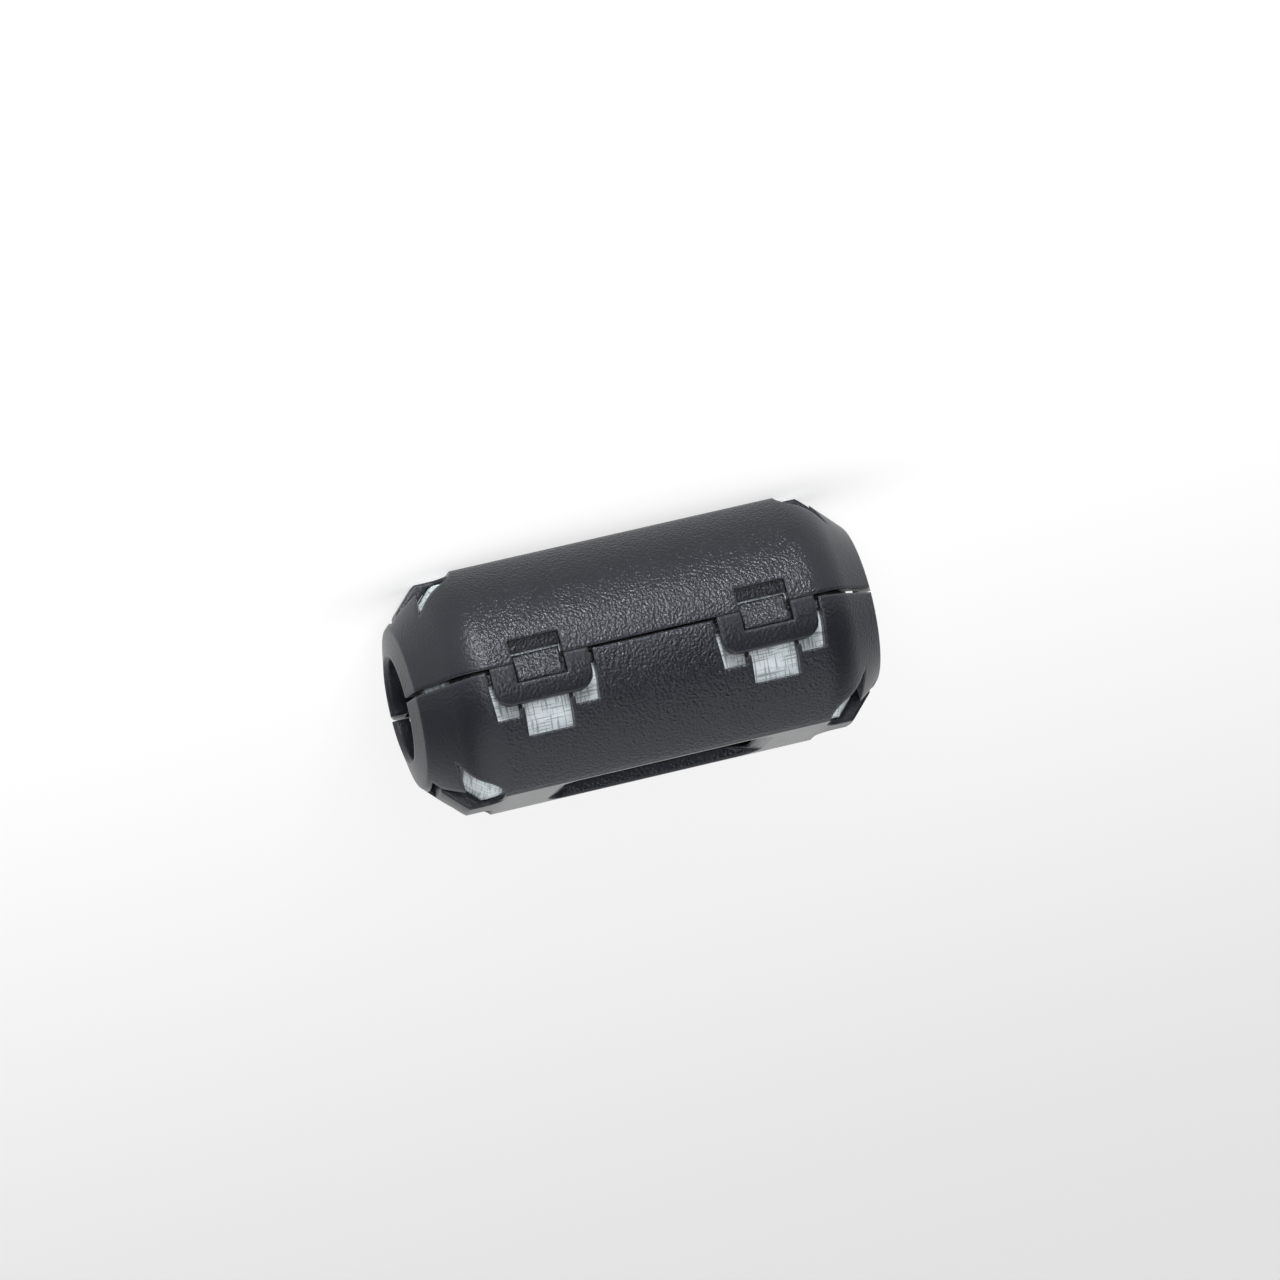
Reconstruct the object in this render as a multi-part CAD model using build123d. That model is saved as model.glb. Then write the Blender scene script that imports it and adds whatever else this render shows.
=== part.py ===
from build123d import *
import os

# Clip-on ferrite bead: a moulded barrel case in two halves round a split ferrite sleeve.
# The bore runs along X, the two latches face the front (negative Y), the hinge is at the back.
# The origin is on the bore axis at mid-length, and the lower half rests on its crown flat.

# Case
case_length = 39.2
case_radius = 10.45
crown_depth = 1.05           # how far the crown flats lie inside the barrel
crown_wall = 0.45            # the moulding is thin under the crown flats
case_wall = 1.1
end_wall = 1.4
hole_radius = 4.2            # hole in the end walls
rim_radius = 6.6             # crease between end face and cone
rim_setback = 0.5            # the end face is a shallow cone up to that crease
cone_length = 4.35           # end of the case to where the cone would meet the barrel
shoulder_radius = 4.5        # under half the case radius, so that the shoulder is a plain torus
mouth_chamfer = 0.3

# Parting
parting_gap = 0.25
end_gap = 0.4                # wider gap in the cones
end_gap_length = 5.4
end_gap_ramp = 1.6           # over which the gap widens

# Ferrite sleeve
core_inset = 3.2             # end of the case to the end of the sleeve
core_bore_radius = 4.2
core_clearance = 0.1
core_chamfer = 1.6
core_face_gap = 0.04
core_recess = 0.55           # shallow recess across the crown of the sleeve
core_recess_inset = 11.0     # end of the case to the recess

# Latches
latch_inset = 10.15          # end of the case to the centre of a latch
loop_width = 8.1
loop_reach = 3.1             # how far the loop goes past the parting plane
loop_thickness = 0.65
loop_corner = 1.3
loop_root_gap = 0.05
bar_height = 1.6
window_width = 4.2
boss_width = 3.84
boss_overhang = 0.8          # how far the boss stands past the parting plane
boss_step = 0.25             # catch edge below the barrel surface
boss_lead = 0.5              # drop of the ramp over its length
boss_land = 0.5
catch_clearance = 0.06
notch_depth = 1.97           # window edge in the looped half
notch_ledge = 0.6            # depth of the sloped ledge at its outer edge
notch_land = 0.3             # wall left at the foot of the ledge
notch_clearance = 0.2        # between boss and ledge

# Cut-outs under the loops
slot_clearance = 0.45        # beside the loop at the parting plane
slot_taper = 0.25            # how much narrower the slot is at its end
pocket_clearance = 0.1       # under the loop
rib_clearance = 0.35         # the loop swings past the ribs
bridge_height = 1.1          # plate across the cut-out that carries the boss
side_window_end = 4.05
core_window_end = 5.6
core_window_width = 3.9
rib_width = 0.3

# Slot round the tongue near both ends of each crown; insets are from the end of the case
opening_inset = 5.95
opening_half_width = 5.95
opening_corner = 1.4
opening_floor = 4.6          # height from which the slot is cut outwards
slot_tip_inset = 2.45
finger_inset = 3.0
finger_half_width = 3.8
tongue_half_width = 1.5
tongue_inset = 1.5
port_inset = 0.85
port_half_width = 2.1

# Window in the middle of each crown flat, with a sloped end each way
crown_window_inset = 10.45   # end of the case to the window
crown_rim = 0.4              # narrow rim of flat left beside the window
crown_window_corner = 2.0
crown_window_ramp = 3.0

# Hinge straps
strap_width = 7.0
strap_bulge = 0.5
strap_reach = 2.6            # each side of the parting plane
strap_edge = 0.15
strap_clearance = 0.02

half_length = case_length / 2
cavity_radius = case_radius - case_wall
core_half = half_length - core_inset
crown_height = case_radius - crown_depth
crown_half_width = (case_radius ** 2 - crown_height ** 2) ** 0.5
cavity_height = crown_height - crown_wall
core_radius = cavity_radius - core_clearance
core_height = cavity_height - core_clearance
latch_centres = (latch_inset - half_length, half_length - latch_inset)
catch_height = loop_reach - bar_height - catch_clearance
pocket_radius = case_radius - loop_thickness - pocket_clearance
far = 3 * case_radius        # well outside the case


def ring(points, corner=None, corner_radius=0.0):
    """Turn an outline of (x, radius) points about the bore axis, with its seam in the parting plane."""
    outline = make_face(Polyline(*points, close=True))
    if corner:
        picked = [v for v in outline.vertices()
                  if abs(abs(v.X) - corner[0]) < 0.001 and abs(v.Y - corner[1]) < 0.001]
        outline = fillet(picked, corner_radius)
    return revolve(outline, Axis.X)


def mirrored_outline(right_half):
    """Close an outline of (x, radius) points, given for positive x from the axis outwards."""
    return right_half + [(-x, r) for x, r in reversed(right_half)]


def block(x_low, x_high, y_low, y_high, z_low, z_high):
    size = Box(x_high - x_low, y_high - y_low, z_high - z_low)
    return Pos((x_low + x_high) / 2, (y_low + y_high) / 2, (z_low + z_high) / 2) * size


def front_prism(points):
    """Extrude an outline of (x, z) points through the front wall."""
    face = make_face(Plane.XZ * Polyline(*points, close=True))
    return extrude(face, far, dir=(0, -1, 0))


def cross_prism(points, centre_x, width):
    """Extrude an outline of (y, z) points along X, centred on a latch."""
    face = make_face(Plane.YZ * Polyline(*points, close=True))
    return Pos(centre_x - width / 2, 0, 0) * extrude(face, width, dir=(1, 0, 0))


def outer_form():
    """The closed outside of the case: barrel, shoulders, cones and shallow end faces."""
    corner = (half_length - cone_length, case_radius)
    right = [(half_length, 0), (half_length, hole_radius + mouth_chamfer),
             (half_length - rim_setback, rim_radius), corner]
    barrel = ring(mirrored_outline(right), corner, shoulder_radius)
    return barrel & Box(2 * far, 2 * far, 2 * crown_height)


def inner_form():
    """Everything hollow: the seat of the sleeve, the space behind each end wall and the end holes."""
    inside_end = half_length - end_wall
    seat_start = core_half + core_clearance - core_chamfer
    right = [(half_length, 0), (half_length, hole_radius + mouth_chamfer),
             (half_length - mouth_chamfer, hole_radius), (inside_end, hole_radius),
             (inside_end, rim_radius - rim_setback), (seat_start, cavity_radius)]
    return ring(mirrored_outline(right)) & Box(2 * far, 2 * far, 2 * cavity_height)


def parting_cut(side):
    """What is taken off a half at the parting plane, deeper along the cones."""
    start = half_length - end_gap_length
    wide = start + end_gap_ramp
    points = [(-far, 0), (far, 0), (far, end_gap / 2), (wide, end_gap / 2),
              (start, parting_gap / 2), (-start, parting_gap / 2),
              (-wide, end_gap / 2), (-far, end_gap / 2)]
    face = make_face(Plane.XZ * Polyline(*[(x, side * z) for x, z in points], close=True))
    other_half = block(-far, far, -far, far, 0, far)
    if side > 0:
        other_half = mirror(other_half, Plane.XY)
    return [extrude(face, far, both=True), other_half]


def crown_slot(end, side):
    """U-shaped slot near an end: it frees the tongue and leaves a pointed finger on each side of it."""
    start = half_length - opening_inset
    tongue_tip = half_length - tongue_inset
    half = [(tongue_tip, tongue_half_width), (start, tongue_half_width), (start, opening_half_width),
            (half_length - slot_tip_inset, opening_half_width),
            (half_length - finger_inset, finger_half_width), (tongue_tip, port_half_width),
            (half_length - port_inset, port_half_width)]
    outline = half + [(x, -y) for x, y in reversed(half)]
    face = make_face(Polyline(*[(end * x, y) for x, y in outline], close=True))
    face = fillet([v for v in face.vertices() if abs(abs(v.X) - start) < 0.001], opening_corner)
    return Pos(0, 0, side * opening_floor) * extrude(face, far, dir=(0, 0, side))


def crown_window(side):
    """Window in the crown flat that stops short of the flat's edges, sloped at both ends."""
    half = half_length - crown_window_inset
    width = 2 * (crown_half_width - crown_rim)
    plan = RectangleRounded(2 * half, width, crown_window_corner)
    straight = Pos(0, 0, side * hole_radius) * extrude(plan, far, dir=(0, 0, side))
    foot = half - crown_window_ramp
    low = crown_height - crown_depth
    slope = [(-half, far), (half, far), (half, crown_height), (foot, low), (foot, 0),
             (-foot, 0), (-foot, low), (-half, crown_height)]
    face = make_face(Plane.XZ * Polyline(*[(x, side * z) for x, z in slope], close=True))
    return straight & extrude(face, far, both=True)


def shell_blank(side):
    """One half of the case with everything both halves share."""
    slots = [crown_slot(end, side) for end in (-1, 1)]
    return outer_form() - [inner_form(), crown_window(side)] - slots - parting_cut(side)


def latch_notch(centre_x):
    """Where the looped half is open above the boss, with its sloped ledge."""
    outer_y = -(case_radius - notch_ledge)
    inner_y = -(cavity_radius + notch_land)
    clear_z = -(boss_overhang + notch_clearance)
    points = [(-far, -notch_depth), (outer_y, -notch_depth), (inner_y, clear_z),
              (-core_bore_radius, clear_z), (-core_bore_radius, 1), (-far, 1)]
    return cross_prism(points, centre_x, window_width)


def lower_shell():
    return shell_blank(-1) - [latch_notch(x) for x in latch_centres]


def latch_loop(centre_x):
    """The U-shaped loop that reaches over the other half and holds its boss."""
    half = loop_width / 2
    root = loop_root_gap - parting_gap / 2
    outline = front_prism([(centre_x - half, root), (centre_x + half, root),
                           (centre_x + half, loop_reach), (centre_x - half, loop_reach)])
    corners = [e for e in outline.edges().filter_by(Axis.Y)
               if abs(e.center().Z - loop_reach) < 0.001]
    outline = fillet(corners, loop_corner)
    window = block(centre_x - window_width / 2, centre_x + window_width / 2, -far, 0,
                   -1, loop_reach - bar_height)
    hollow = Rot(0, 90, 0) * Cylinder(case_radius - loop_thickness, 2 * far)
    return (outer_form() & outline) - [window, hollow]


def slot_outline(centre_x, z_low):
    """The cut-out round a loop, a little narrower towards its end."""
    wide = loop_width / 2 + slot_clearance
    narrow = wide - slot_taper
    return front_prism([(centre_x - wide, z_low), (centre_x + wide, z_low),
                        (centre_x + narrow, side_window_end), (centre_x - narrow, side_window_end)])


def ribs(centre_x, z_low):
    """The two thin ribs between the side windows and the middle one."""
    inner = core_window_width / 2
    return [block(min(a, b), max(a, b), -far, 0, z_low, side_window_end + 1)
            for a, b in ((centre_x + s * inner, centre_x + s * (inner + rib_width)) for s in (-1, 1))]


def latch_boss(centre_x):
    """Ramped boss that the bar of the loop snaps over."""
    crest = -(case_radius - boss_step)
    base = -(cavity_radius + core_clearance)
    points = [(base, catch_height), (crest, catch_height), (crest, catch_height - boss_land),
              (crest + boss_lead, -boss_overhang), (base, -boss_overhang)]
    return cross_prism(points, centre_x, boss_width)


def upper_shell():
    shell = shell_blank(1)
    behind_loop = Rot(0, 90, 0) * Cylinder(pocket_radius, 2 * far)
    for x in latch_centres:
        pocket = slot_outline(x, -1) - [behind_loop] - ribs(x, loop_reach + rib_clearance)
        windows = slot_outline(x, bridge_height) - ribs(x, bridge_height)
        core_window = block(x - core_window_width / 2, x + core_window_width / 2,
                            -far, 0, catch_height, core_window_end)
        shell = shell - [pocket, windows, core_window]
        shell = shell + latch_boss(x)
    return shell


def hinge_strap(centre_x):
    """Thin flexing strap at the back that joins the two halves."""
    inner = case_radius + strap_clearance
    end_z = strap_reach
    end_y = (inner ** 2 - end_z ** 2) ** 0.5
    low_in, mid_in, high_in = (end_y, -end_z), (inner, 0), (end_y, end_z)
    low_out, high_out = (end_y + strap_edge, -end_z), (end_y + strap_edge, end_z)
    mid_out = (inner + strap_bulge, 0)
    edges = [ThreePointArc(low_in, mid_in, high_in), Line(high_in, high_out),
             ThreePointArc(high_out, mid_out, low_out), Line(low_out, low_in)]
    face = make_face([Plane.YZ * edge for edge in edges])
    return Pos(centre_x - strap_width / 2, 0, 0) * extrude(face, strap_width, dir=(1, 0, 0))


def ferrite(side):
    """Half of the ferrite sleeve, chamfered at both ends, with a recess across its flat crown."""
    right = [(core_half, core_bore_radius), (core_half, core_radius - core_chamfer),
             (core_half - core_chamfer, core_radius)]
    recess_half = half_length - core_recess_inset
    keep = block(-far, far, -far, far, core_face_gap / 2, core_height)
    recess = block(-recess_half, recess_half, -far, far, core_height - core_recess, far)
    if side < 0:
        keep, recess = mirror(keep, Plane.XY), mirror(recess, Plane.XY)
    return (ring(mirrored_outline(right)) & keep) - recess


def parts():
    left, right = latch_centres[1], latch_centres[0]
    return {
        "lower_shell": lower_shell(),
        "upper_shell": upper_shell(),
        "latch_loop_left": latch_loop(left),
        "latch_loop_right": latch_loop(right),
        "hinge_strap_left": hinge_strap(left),
        "hinge_strap_right": hinge_strap(right),
        "ferrite_lower": ferrite(-1),
        "ferrite_upper": ferrite(1),
    }


os.makedirs("parts", exist_ok=True)
for name, solid in parts().items():
    export_step(solid, f"parts/{name}.step")
    print(name, round(solid.volume, 1), len(solid.solids()))
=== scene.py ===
# %% [markdown]
# # A clip-on ferrite bead
# The object is a black moulded barrel about 39 mm long that snaps shut round a split sleeve of
# grey ferrite. Its parts arrive already made at their real size. This lesson gives them their
# finishes, puts a copy in place of each hinge strap, and lights the whole like a small product shot.

# %% Load the parts
import math
import bpy
from mathutils import Matrix, Vector


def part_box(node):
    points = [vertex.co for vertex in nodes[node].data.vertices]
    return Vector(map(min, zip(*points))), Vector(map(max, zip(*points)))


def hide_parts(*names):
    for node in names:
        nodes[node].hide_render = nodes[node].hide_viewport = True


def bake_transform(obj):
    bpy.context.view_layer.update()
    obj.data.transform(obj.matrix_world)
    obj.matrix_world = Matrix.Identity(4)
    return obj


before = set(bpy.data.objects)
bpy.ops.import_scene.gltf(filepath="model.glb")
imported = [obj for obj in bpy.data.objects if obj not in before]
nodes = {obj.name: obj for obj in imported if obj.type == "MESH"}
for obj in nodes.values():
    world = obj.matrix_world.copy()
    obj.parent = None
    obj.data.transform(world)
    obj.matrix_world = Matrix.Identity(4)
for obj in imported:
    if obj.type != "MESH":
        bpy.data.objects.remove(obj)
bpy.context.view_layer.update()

MM = 0.001
print("parts:", sorted(nodes))

# %% [markdown]
# Two sizes that several steps need are read from the parts themselves, so that the finishes and
# the table follow the parts. The crown flats are the lowest and highest faces of the case, and
# the sleeve is the ferrite inside it.

# %% Sizes read from the parts
CROWN_HEIGHT = -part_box("lower_shell")[0].z
SLEEVE_RADIUS = -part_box("ferrite_lower")[0].y
print("crown height and sleeve radius in mm:", round(CROWN_HEIGHT / MM, 2), round(SLEEVE_RADIUS / MM, 2))

# %% [markdown]
# The camera comes first, because every later choice is judged through it. It is a long lens
# from the side of the latches, turned a little to one end and a little above the table. It is
# rolled by almost half a turn, because the half with the loops is the lower one here and the
# upper one in the picture. A long lens keeps both ends nearly the same size.

# %% Camera
CAMERA_AZIMUTH = math.radians(11.6)
CAMERA_ELEVATION = math.radians(8.0)
CAMERA_ROLL = math.radians(165.4)
CAMERA_DISTANCE = 0.6
CAMERA_LENS = 208.2
CAMERA_ASIDE = (0.72 * MM, 1.34 * MM)
NEAREST_SEEN = 0.01


def camera_axes(azimuth, elevation, roll):
    """The camera's right, up and backward directions."""
    back = Vector((math.sin(azimuth) * math.cos(elevation),
                   -math.cos(azimuth) * math.cos(elevation), math.sin(elevation)))
    level = Vector((math.cos(azimuth), math.sin(azimuth), 0))
    above = back.cross(level)
    right = level * math.cos(roll) + above * math.sin(roll)
    return right, back.cross(right), back


right, up, back = camera_axes(CAMERA_AZIMUTH, CAMERA_ELEVATION, CAMERA_ROLL)
camera = bpy.data.objects.new("camera", bpy.data.cameras.new("camera"))
bpy.context.scene.collection.objects.link(camera)
camera.data.lens = CAMERA_LENS
camera.data.clip_start = NEAREST_SEEN
place = right * CAMERA_ASIDE[0] + up * CAMERA_ASIDE[1] + back * CAMERA_DISTANCE
camera.matrix_world = Matrix.Translation(place) @ Matrix((right, up, back)).transposed().to_4x4()
bpy.context.scene.camera = camera
bpy.context.scene.view_settings.view_transform = "Standard"
print("camera at mm:", [round(v / MM) for v in place])

# %% [markdown]
# Maths on a shader's values is easier to read as ordinary expressions. A Signal wraps one
# socket, and the usual signs add the nodes. A Finish is one material, and its add method makes
# any node from its type, its settings and the values of its sockets.

# %% Shader helper


class Signal:
    """One value in a shader."""

    def __init__(self, finish, socket):
        self.finish, self.socket = finish, socket

    def maths(self, operation, first, second=0.0):
        return self.finish.add("ShaderNodeMath", [first, second], operation=operation)

    def __add__(self, other):
        return self.maths("ADD", self, other)

    def __radd__(self, other):
        return self.maths("ADD", other, self)

    def __sub__(self, other):
        return self.maths("SUBTRACT", self, other)

    def __rsub__(self, other):
        return self.maths("SUBTRACT", other, self)

    def __mul__(self, other):
        return self.maths("MULTIPLY", self, other)

    def __rmul__(self, other):
        return self.maths("MULTIPLY", other, self)

    def __abs__(self):
        return self.maths("ABSOLUTE", self)

    def __pow__(self, other):
        return self.maths("POWER", self, other)

    def between(self, low, high):
        """0 below low, 1 above high, and smooth between them."""
        return self.finish.add("ShaderNodeMapRange", {"Value": self, "From Min": low, "From Max": high},
                               interpolation_type="SMOOTHSTEP")


class Finish:
    """One material, built node by node."""

    def __init__(self, name):
        self.material = bpy.data.materials.new(name)
        self.material.use_nodes = True
        self.tree = self.material.node_tree
        self.shader = self.tree.nodes["Principled BSDF"]

    def add(self, kind, inputs=(), output=0, **settings):
        """A new node, as the Signal of one of its outputs."""
        node = self.tree.nodes.new(kind)
        for name, value in settings.items():
            setattr(node, name, value)
        pairs = inputs.items() if isinstance(inputs, dict) else enumerate(inputs)
        for key, value in pairs:
            self.feed(node.inputs[key], value)
        return Signal(self, node.outputs[output])

    def feed(self, socket, value):
        """Link a Signal to a socket, or write a plain value into it."""
        if isinstance(value, Signal):
            self.tree.links.new(value.socket, socket)
        else:
            socket.default_value = value

    def set(self, **inputs):
        """Feed sockets of the main shader, so that base_color stands for Base Color."""
        for name, value in inputs.items():
            self.feed(self.shader.inputs[name.replace("_", " ").title().replace("Ior", "IOR")], value)

    def mix(self, factor, first, second):
        """The first colour where factor is 0, and the second where it is 1."""
        return self.add("ShaderNodeMix", {"Factor": factor, "A": first, "B": second},
                        output=2, data_type="RGBA")

    def split(self, vector):
        """The x, y and z of a vector."""
        apart = self.tree.nodes.new("ShaderNodeSeparateXYZ")
        self.feed(apart.inputs[0], vector)
        return [Signal(self, socket) for socket in apart.outputs]

    def place(self):
        """Object coordinates in millimetres, whole and split into x, y and z."""
        where = self.add("ShaderNodeTexCoord", output="Object")
        scaled = self.add("ShaderNodeVectorMath", {0: where, "Scale": 1 / MM}, operation="SCALE")
        return scaled, self.split(scaled)


# %% [markdown]
# The case is black nylon from a mould that was spark-eroded, so the barrel is covered in tiny
# rounded bumps that glitter where the light strikes. The cones and the crown flats came from
# smoother steel. A noise with about four bumps to the millimetre drives a Bump node, and it
# fades along the cones and just under the crown flats. A Bevel node shades every edge as if it
# were slightly round, as a mould makes it, and where it turns the normal away from the face's
# own, the edge is painted a paler grey as a highlight and made smoother. The latch loops and
# hinge straps are the same plastic from a smoother part of the mould.

# %% Finish of the case
GRAIN_SCALE = 4.4
GRAIN_HEIGHT = 0.10 * MM
EDGE_RADIUS = 0.4 * MM
CONE_FADE = (12.6, 15.4)
CROWN_FADE = (CROWN_HEIGHT / MM - 0.25, CROWN_HEIGHT / MM - 0.05)
NORMALS_ALIKE = (0.8, 0.97)
CASE_BLACK = (0.005, 0.0058, 0.0085, 1)
CLOUDED_BLACK = (0.009, 0.0104, 0.015, 1)
# Painted highlight grey for the edges.
EDGE_HIGHLIGHT_GREY = (0.075, 0.08, 0.09, 1)
NYLON_IOR = 1.5
COOL_GLOSS = (0.88, 0.92, 1.0, 1)


def case_plastic(name, grain_share):
    finish = Finish(name)
    where, (x, _, z) = finish.place()
    on_cone = abs(x).between(*CONE_FADE)
    on_crown = abs(z).between(*CROWN_FADE)
    grain_amount = (1 - 0.65 * on_cone) * (1 - 0.85 * on_crown) * grain_share
    pebbles = finish.add("ShaderNodeTexNoise", {"Vector": where, "Scale": GRAIN_SCALE, "Detail": 1.0,
                                                "Roughness": 0.5})
    rounded = finish.add("ShaderNodeBevel", {"Radius": EDGE_RADIUS}, samples=8)
    grain = finish.add("ShaderNodeBump", {"Height": pebbles * grain_amount, "Strength": 1.0,
                                          "Distance": GRAIN_HEIGHT, "Normal": rounded})
    face = finish.add("ShaderNodeNewGeometry", output="True Normal")
    alike = finish.add("ShaderNodeVectorMath", {0: rounded, 1: face}, output=1, operation="DOT_PRODUCT")
    # Painted highlight: where the Bevel normal turns away from the face, the edge is painted paler.
    painted_highlight_edge = 1 - alike.between(*NORMALS_ALIKE)
    cloud = finish.add("ShaderNodeTexNoise", {"Vector": where, "Scale": 0.35, "Detail": 3.0})
    tone = finish.mix(painted_highlight_edge * 0.35, finish.mix(cloud, CASE_BLACK, CLOUDED_BLACK), EDGE_HIGHLIGHT_GREY)
    finish.set(base_color=tone, normal=grain, ior=NYLON_IOR, specular_tint=COOL_GLOSS,
               roughness=0.25 + 0.08 * on_cone + 0.06 * cloud - 0.05 * painted_highlight_edge)
    return finish.material


# %% [markdown]
# Ferrite is a fired ceramic, ground after firing. The wheel leaves fine scratches in two
# directions, which show as darker threads that cross on a pale ground. Two noises, each drawn
# out long in its own direction, make them, one round the sleeve and one along it. Both follow
# the angle round the bore, so on the flat faces they draw out into streaks. Away from the bore
# a narrow band where the halves meet is painted near black as the shade in the parting line,
# and it crosses the flat ends too. The flat faces that meet, and the bore, keep the ground finish.

# %% Finish of the ferrite
RING_FINENESS = 7.5
LINE_FINENESS = 7.0
THREAD_STRETCH = 0.4
OTHER_SLICE = 7.0
THREAD_EDGE = (0.36, 0.48)
FACES_THE_JOINT = (0.9, 0.97)
OUTER_SKIN = (5.0, 6.0)
JOINT_SHADE_BAND = (0.32, 0.55)
SCRATCH_HEIGHT = 0.03 * MM
PALE_FERRITE = (0.85, 0.93, 0.97, 1)
SCRATCH_GREY = (0.29, 0.33, 0.36, 1)
# Painted shade colour for the parting line.
PAINTED_JOINT_SHADE = (0.012, 0.013, 0.014, 1)


def ground_ferrite():
    finish = Finish("ground_ferrite")
    where, (x, y, z) = finish.place()
    turn = finish.add("ShaderNodeMath", [z, y], operation="ARCTAN2") * (SLEEVE_RADIUS / MM)
    round_it = finish.add("ShaderNodeCombineXYZ", [x * RING_FINENESS, turn * THREAD_STRETCH, 0.0])
    along_it = finish.add("ShaderNodeCombineXYZ", [x * THREAD_STRETCH, turn * LINE_FINENESS, OTHER_SLICE])
    rings = finish.add("ShaderNodeTexNoise", {"Vector": round_it, "Scale": 1.0, "Detail": 2.0})
    lines = finish.add("ShaderNodeTexNoise", {"Vector": along_it, "Scale": 1.0, "Detail": 2.0})
    speck = finish.add("ShaderNodeTexNoise", {"Vector": where, "Scale": 7.0, "Detail": 2.0})
    scratches = 1 - rings.between(*THREAD_EDGE) * lines.between(*THREAD_EDGE)
    ground = finish.mix(scratches * 0.8 + speck * 0.2, PALE_FERRITE, SCRATCH_GREY)
    normal = finish.split(finish.add("ShaderNodeTexCoord", output="Normal"))
    meeting_face = abs(normal[2]).between(*FACES_THE_JOINT)
    outer_skin = ((y * y + z * z) ** 0.5).between(*OUTER_SKIN)
    # Painted shade: a near-black band along the parting line on the ferrite's outer skin.
    painted_joint_shade = (1 - abs(z).between(*JOINT_SHADE_BAND)) * (1 - meeting_face) * outer_skin
    bump = finish.add("ShaderNodeBump", {"Height": speck * 0.3 - scratches, "Strength": 0.6,
                                         "Distance": SCRATCH_HEIGHT})
    finish.set(base_color=finish.mix(painted_joint_shade, ground, PAINTED_JOINT_SHADE), normal=bump,
               roughness=0.4 + 0.15 * speck)
    return finish.material


# %% [markdown]
# The parts keep the shape they came with. Only the material in their slots changes.

# %% Give each part its finish


def give(names, material):
    for name in names:
        for slot in nodes[name].material_slots:
            slot.material = material
        print(name, "wears", material.name)


give(["lower_shell", "upper_shell"], case_plastic("grained_case", grain_share=1.0))
give(["latch_loop_left", "latch_loop_right", "hinge_strap_left", "hinge_strap_right"],
     case_plastic("smooth_case", grain_share=0.3))
give(["ferrite_lower", "ferrite_upper"], ground_ferrite())

# %% [markdown]
# Two thin straps at the back join the halves. A copy of each stands for it, and the strap
# itself is hidden.

# %% Hinge straps are copied
for side in ("left", "right"):
    strap = nodes["hinge_strap_" + side]
    bent = strap.copy()
    bent.data = strap.data.copy()
    bent.name = "flexing_strap_" + side
    bpy.context.scene.collection.objects.link(bent)
    bent.parent = None
    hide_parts("hinge_strap_" + side)
    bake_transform(bent)

# %% [markdown]
# The table is a pale sheet that the eye sees nearly white, as on a light table, so most of what
# the camera gets from it is its own colour and the rest is its shading, which keeps the soft
# shadow. Reflections see the same white. It casts no shadow itself, so a lamp may stand lower
# than the sheet and light the underside of the bead.

# %% Table
TABLE_SIDE = 6
TABLE_OWN_WHITE = 0.56

bpy.ops.object.select_all(action="DESELECT")
bpy.ops.mesh.primitive_plane_add(size=TABLE_SIDE, location=(0, 0, -CROWN_HEIGHT))
table = bpy.context.object
table.name = "table"
table.visible_shadow = False

sheet = Finish("table_sheet")
sheet.set(base_color=(0.9, 0.9, 0.9, 1), roughness=0.9)
by_camera, by_gloss, by_glass = [sheet.add("ShaderNodeLightPath", output=f"Is {kind} Ray")
                                 for kind in ("Camera", "Glossy", "Transmission")]
white = sheet.add("ShaderNodeEmission", {"Color": (1, 1, 1, 1), "Strength": 1.0})
blend = sheet.add("ShaderNodeMixShader", {0: (by_camera + by_gloss + by_glass) * TABLE_OWN_WHITE, 2: white})
sheet.tree.links.new(sheet.shader.outputs[0], blend.socket.node.inputs[1])
sheet.tree.links.new(blend.socket, sheet.tree.nodes["Material Output"].inputs["Surface"])
table.data.materials.append(sheet.material)
print("table at a height in mm of", round(table.location.z / MM, 2))

# %% [markdown]
# One lamp makes the glitter along the barrel, a broad one fills from above, and a low one fills
# from beside the camera. The surround is brighter behind the bead than in front of it, as where
# a white sheet sweeps up behind a dark object. Part of the gloss that a lamp gives comes from
# reflected rays that find it. Under the sheet they would meet the sheet first, so a lamp there
# is sampled directly instead. The last lamp lights only the sheet, which it brings to a plain
# level, and because it stands very low it throws the bead's soft shadow far enough back to show.

# %% Lamps


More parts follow.
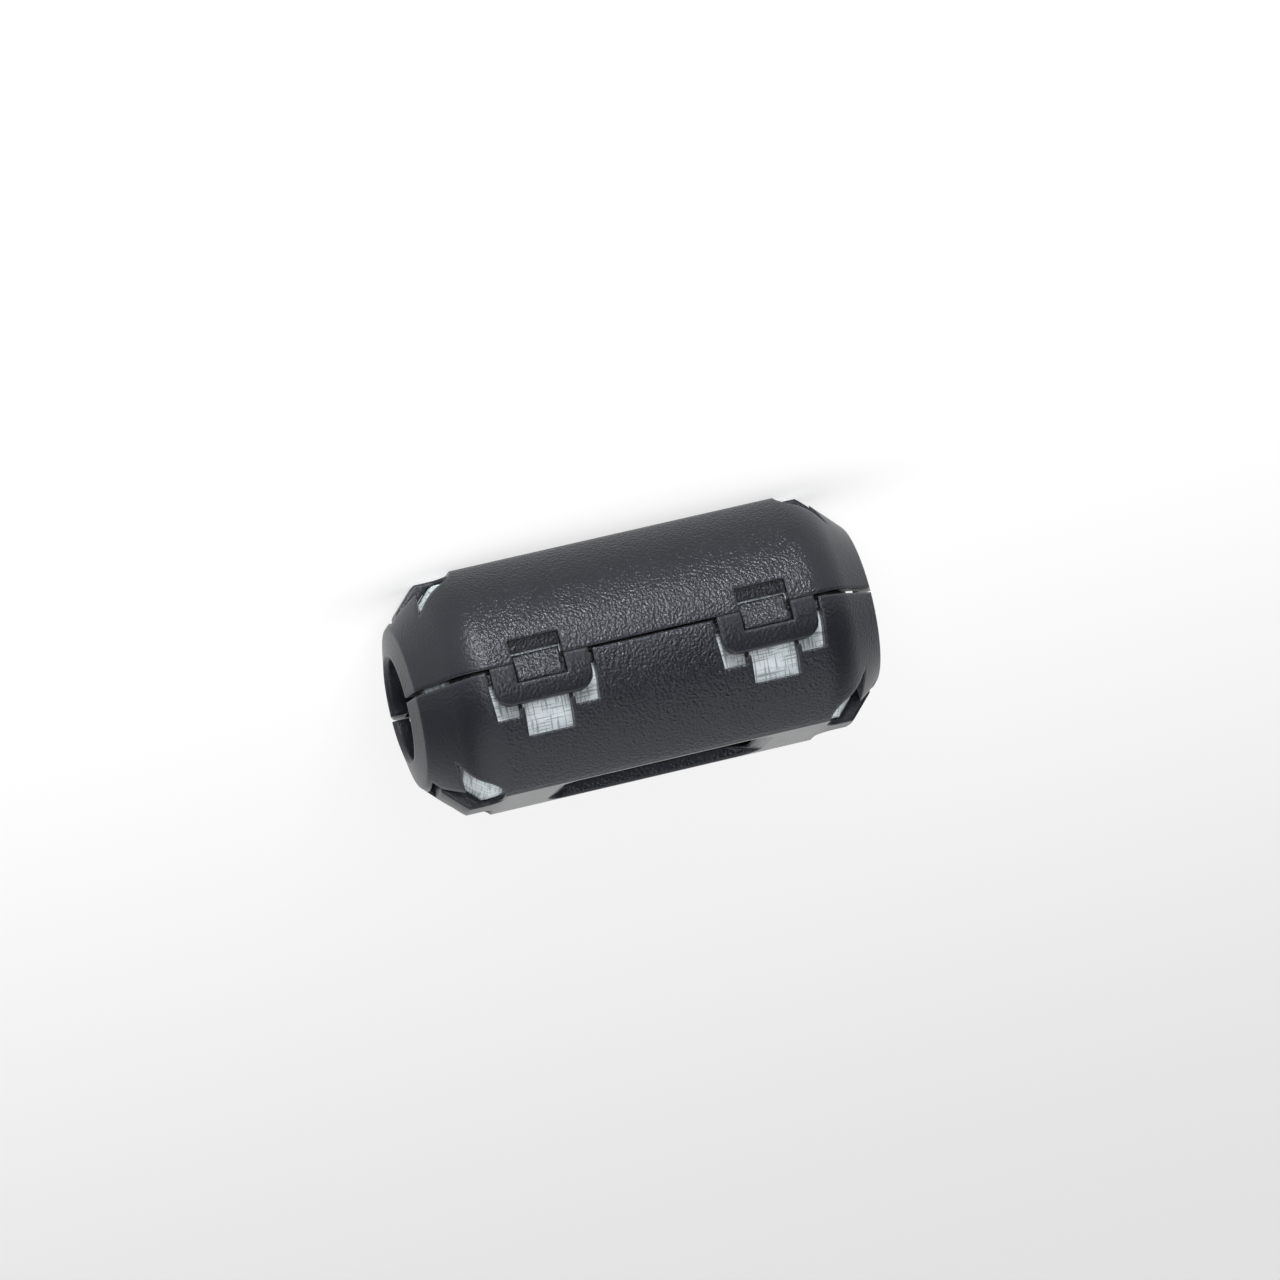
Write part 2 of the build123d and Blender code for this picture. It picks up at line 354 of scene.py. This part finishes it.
def soft_lamp(name, azimuth, elevation, distance, size, strength):
    """A round lamp turned to the bead, with its angles in degrees and its lengths in metres."""
    lamp = bpy.data.objects.new(name, bpy.data.lights.new(name, "AREA"))
    bpy.context.scene.collection.objects.link(lamp)
    lamp.data.shape = "DISK"
    lamp.data.size = size
    area = math.pi * (size / 2) ** 2
    lamp.data.energy = strength * area * math.pi
    lamp.visible_camera = False
    lamp.data.cycles.use_multiple_importance_sampling = elevation > 0
    axes = camera_axes(math.radians(azimuth), math.radians(elevation), 0)
    place = axes[2] * distance
    lamp.matrix_world = Matrix.Translation(place) @ Matrix(axes).transposed().to_4x4()
    print(name, "at mm:", [round(v / MM) for v in place])
    return lamp


soft_lamp("glitter_lamp", azimuth=4, elevation=-31, distance=0.5, size=0.14, strength=29)
soft_lamp("low_lamp", azimuth=4, elevation=6.5, distance=0.6, size=0.12, strength=14)
soft_lamp("top_lamp", azimuth=20, elevation=70, distance=0.6, size=0.9, strength=1.0)
sheet_lamp = soft_lamp("sheet_lamp", azimuth=9.7, elevation=6.7, distance=0.6, size=0.10, strength=430)
lit_by_sheet_lamp = bpy.data.collections.new("lit_by_sheet_lamp")
lit_by_sheet_lamp.objects.link(table)
sheet_lamp.light_linking.receiver_collection = lit_by_sheet_lamp

# %% [markdown]
# The surround is a plain white whose strength grows from front to back. Each direction's own Y,
# from -1 in front to 1 behind, is turned into that strength.

# %% Surround
FRONT_LEVEL, BACK_LEVEL = 0.18, 0.95
FRONT_ENDS, BACK_STARTS = -0.15, 0.6

world = bpy.data.worlds.new("surround")
bpy.context.scene.world = world
world.use_nodes = True
tree = world.node_tree
toward_sky = tree.nodes.new("ShaderNodeTexCoord")
apart = tree.nodes.new("ShaderNodeSeparateXYZ")
level = tree.nodes.new("ShaderNodeMapRange")
tree.links.new(toward_sky.outputs["Generated"], apart.inputs[0])
tree.links.new(apart.outputs["Y"], level.inputs["Value"])
for socket, value in (("From Min", FRONT_ENDS), ("From Max", BACK_STARTS),
                      ("To Min", FRONT_LEVEL), ("To Max", BACK_LEVEL)):
    level.inputs[socket].default_value = value
tree.links.new(level.outputs[0], tree.nodes["Background"].inputs["Strength"])
tree.nodes["Background"].inputs["Color"].default_value = (1, 1, 1, 1)
print("surround in front and behind:", FRONT_LEVEL, BACK_LEVEL)
